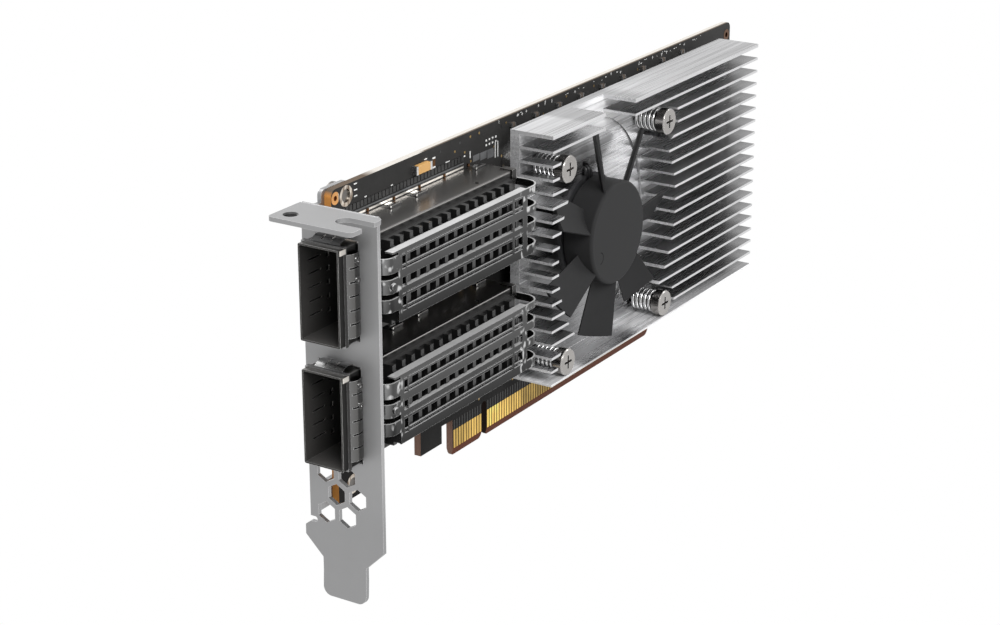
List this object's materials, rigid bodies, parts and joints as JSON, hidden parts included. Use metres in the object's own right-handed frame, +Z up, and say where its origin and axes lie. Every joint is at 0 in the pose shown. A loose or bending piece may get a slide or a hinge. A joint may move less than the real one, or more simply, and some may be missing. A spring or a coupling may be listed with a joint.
{
  "type": "network interface card",
  "caption": "Low-profile plug-in network card with a vented bracket, spring-collared pluggable ports, ladder-clipped port heat sinks and a fan set in a finned main heat sink.",
  "frame": {"origin": "middle of the edge contacts' key notch, on the board's component face, at the bottom of the board", "axes": "+X from the bracket to the far end, +Z up from the edge contacts to the top edge, -Y out of the component side"},
  "size_m": [0.1777, 0.0201, 0.0817],
  "materials": {
    "steel_sheet": "satin",
    "bracket_screw_metal": "satin",
    "board_mask": "satin",
    "gold": "polished",
    "hole_plating": "polished",
    "cage_metal": "satin",
    "collar_metal": "satin",
    "connector_plastic": "matte",
    "port_contact_gold": "polished",
    "port_sink_black": "matte",
    "clip_metal": "polished",
    "sink_aluminium": "brushed",
    "screw_chrome": "polished",
    "spring_steel": "polished",
    "nut_steel": "satin",
    "standoff_metal": "polished",
    "substrate_green": "satin",
    "lid_nickel": "satin",
    "pad_grey": "matte",
    "fan_plastic": "satin",
    "shaft_steel": "polished",
    "yoke_steel": "satin",
    "magnet_ferrite": "matte",
    "motor_base_plastic": "matte",
    "bearing_bronze": "satin",
    "motor_board_green": "satin",
    "core_laminations": "satin",
    "winding_copper": "satin",
    "lead_insulation": "satin",
    "header_nylon": "satin",
    "inductor_ferrite": "matte",
    "stage_epoxy": "matte",
    "bulk_tantalum": "satin",
    "ceramic_tan": "satin",
    "memory_epoxy": "matte",
    "input_capacitor_orange": "satin",
    "clock_can_metal": "polished"
  },
  "bodies": {
    "card": {"circuit_board": "board_mask", "gold_contacts": "gold", "plated_hole_rings": "hole_plating", "bracket": "steel_sheet", "bracket_screws": "bracket_screw_metal", "main_heat_sink": "sink_aluminium", "heat_sink_screws": "screw_chrome", "screw_springs": "spring_steel", "screw_nuts": "nut_steel", "board_standoffs": "standoff_metal", "controller_substrate": "substrate_green", "controller_lid": "lid_nickel", "thermal_pad": "pad_grey", "fan_motor_base": "motor_base_plastic", "fan_bearing": "bearing_bronze", "fan_motor_board": "motor_board_green", "fan_motor_core": "core_laminations", "fan_windings": "winding_copper", "fan_leads": "lead_insulation", "fan_header": "header_nylon", "power_inductors": "inductor_ferrite", "power_stages": "stage_epoxy", "bulk_capacitors": "bulk_tantalum", "ceramic_capacitors": "ceramic_tan", "back_capacitors": "ceramic_tan", "memory_chip": "memory_epoxy", "back_chips": "stage_epoxy", "input_capacitor": "input_capacitor_orange", "clock_can": "clock_can_metal", "upper_cage": "cage_metal", "upper_spring_collar": "collar_metal", "upper_port_connector": "connector_plastic", "upper_port_contacts": "port_contact_gold", "upper_port_heat_sink": "port_sink_black", "upper_heat_sink_clip": "clip_metal", "lower_cage": "cage_metal", "lower_spring_collar": "collar_metal", "lower_port_connector": "connector_plastic", "lower_port_contacts": "port_contact_gold", "lower_port_heat_sink": "port_sink_black", "lower_heat_sink_clip": "clip_metal"},
    "fan_rotor": {"fan_impeller": "fan_plastic", "fan_shaft": "shaft_steel", "rotor_yoke": "yoke_steel", "rotor_magnet": "magnet_ferrite"}
  },
  "joints": [
    {"name": "fan_spin", "type": "hinge", "parent": "card", "child": "fan_rotor", "pos_m": [0.0332, -0.012, 0.0391], "axis": [0, -1, 0], "continuous": true}
  ]
}
